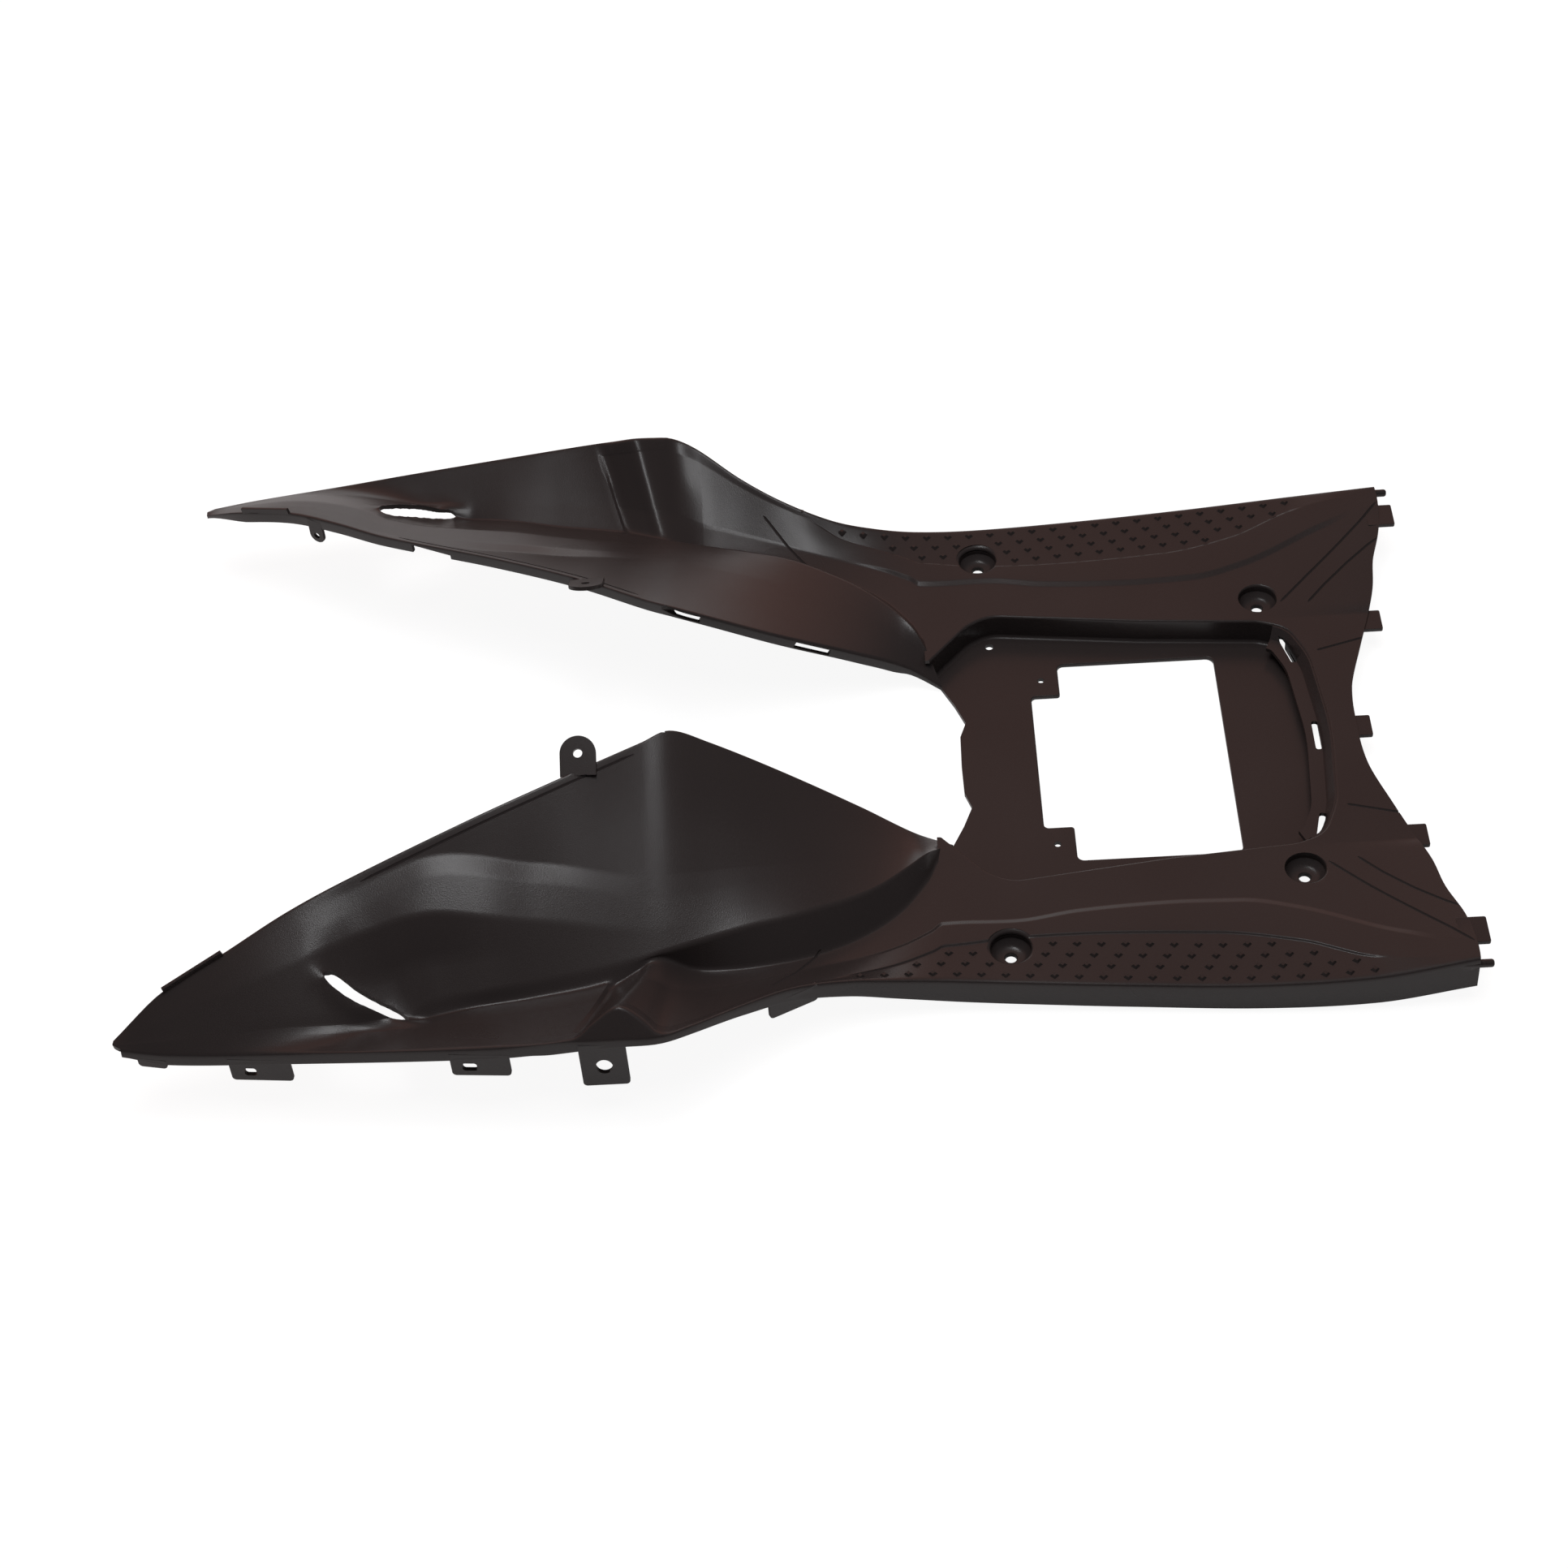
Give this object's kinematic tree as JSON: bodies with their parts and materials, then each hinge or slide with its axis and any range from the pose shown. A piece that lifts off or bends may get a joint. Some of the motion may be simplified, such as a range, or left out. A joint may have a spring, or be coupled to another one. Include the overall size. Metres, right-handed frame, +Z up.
{
  "type": "scooter floorboard",
  "caption": "Moulded floorboard of a motor scooter: deck with grip pads and sunken battery tray, two swept-back wings, hanging tabs and screw cups.",
  "frame": {"origin": "midway between the two outer floor screws, on the seat under their heads, 8 mm under the deck", "axes": "+X to the scooter's nose, +Y to its left side, +Z up"},
  "size_m": [0.7707, 0.5104, 0.109],
  "materials": {
    "floorboard": "fine-grained matt black polypropylene"
  },
  "bodies": {
    "root": {"floorboard": "floorboard"}
  },
  "joints": []
}
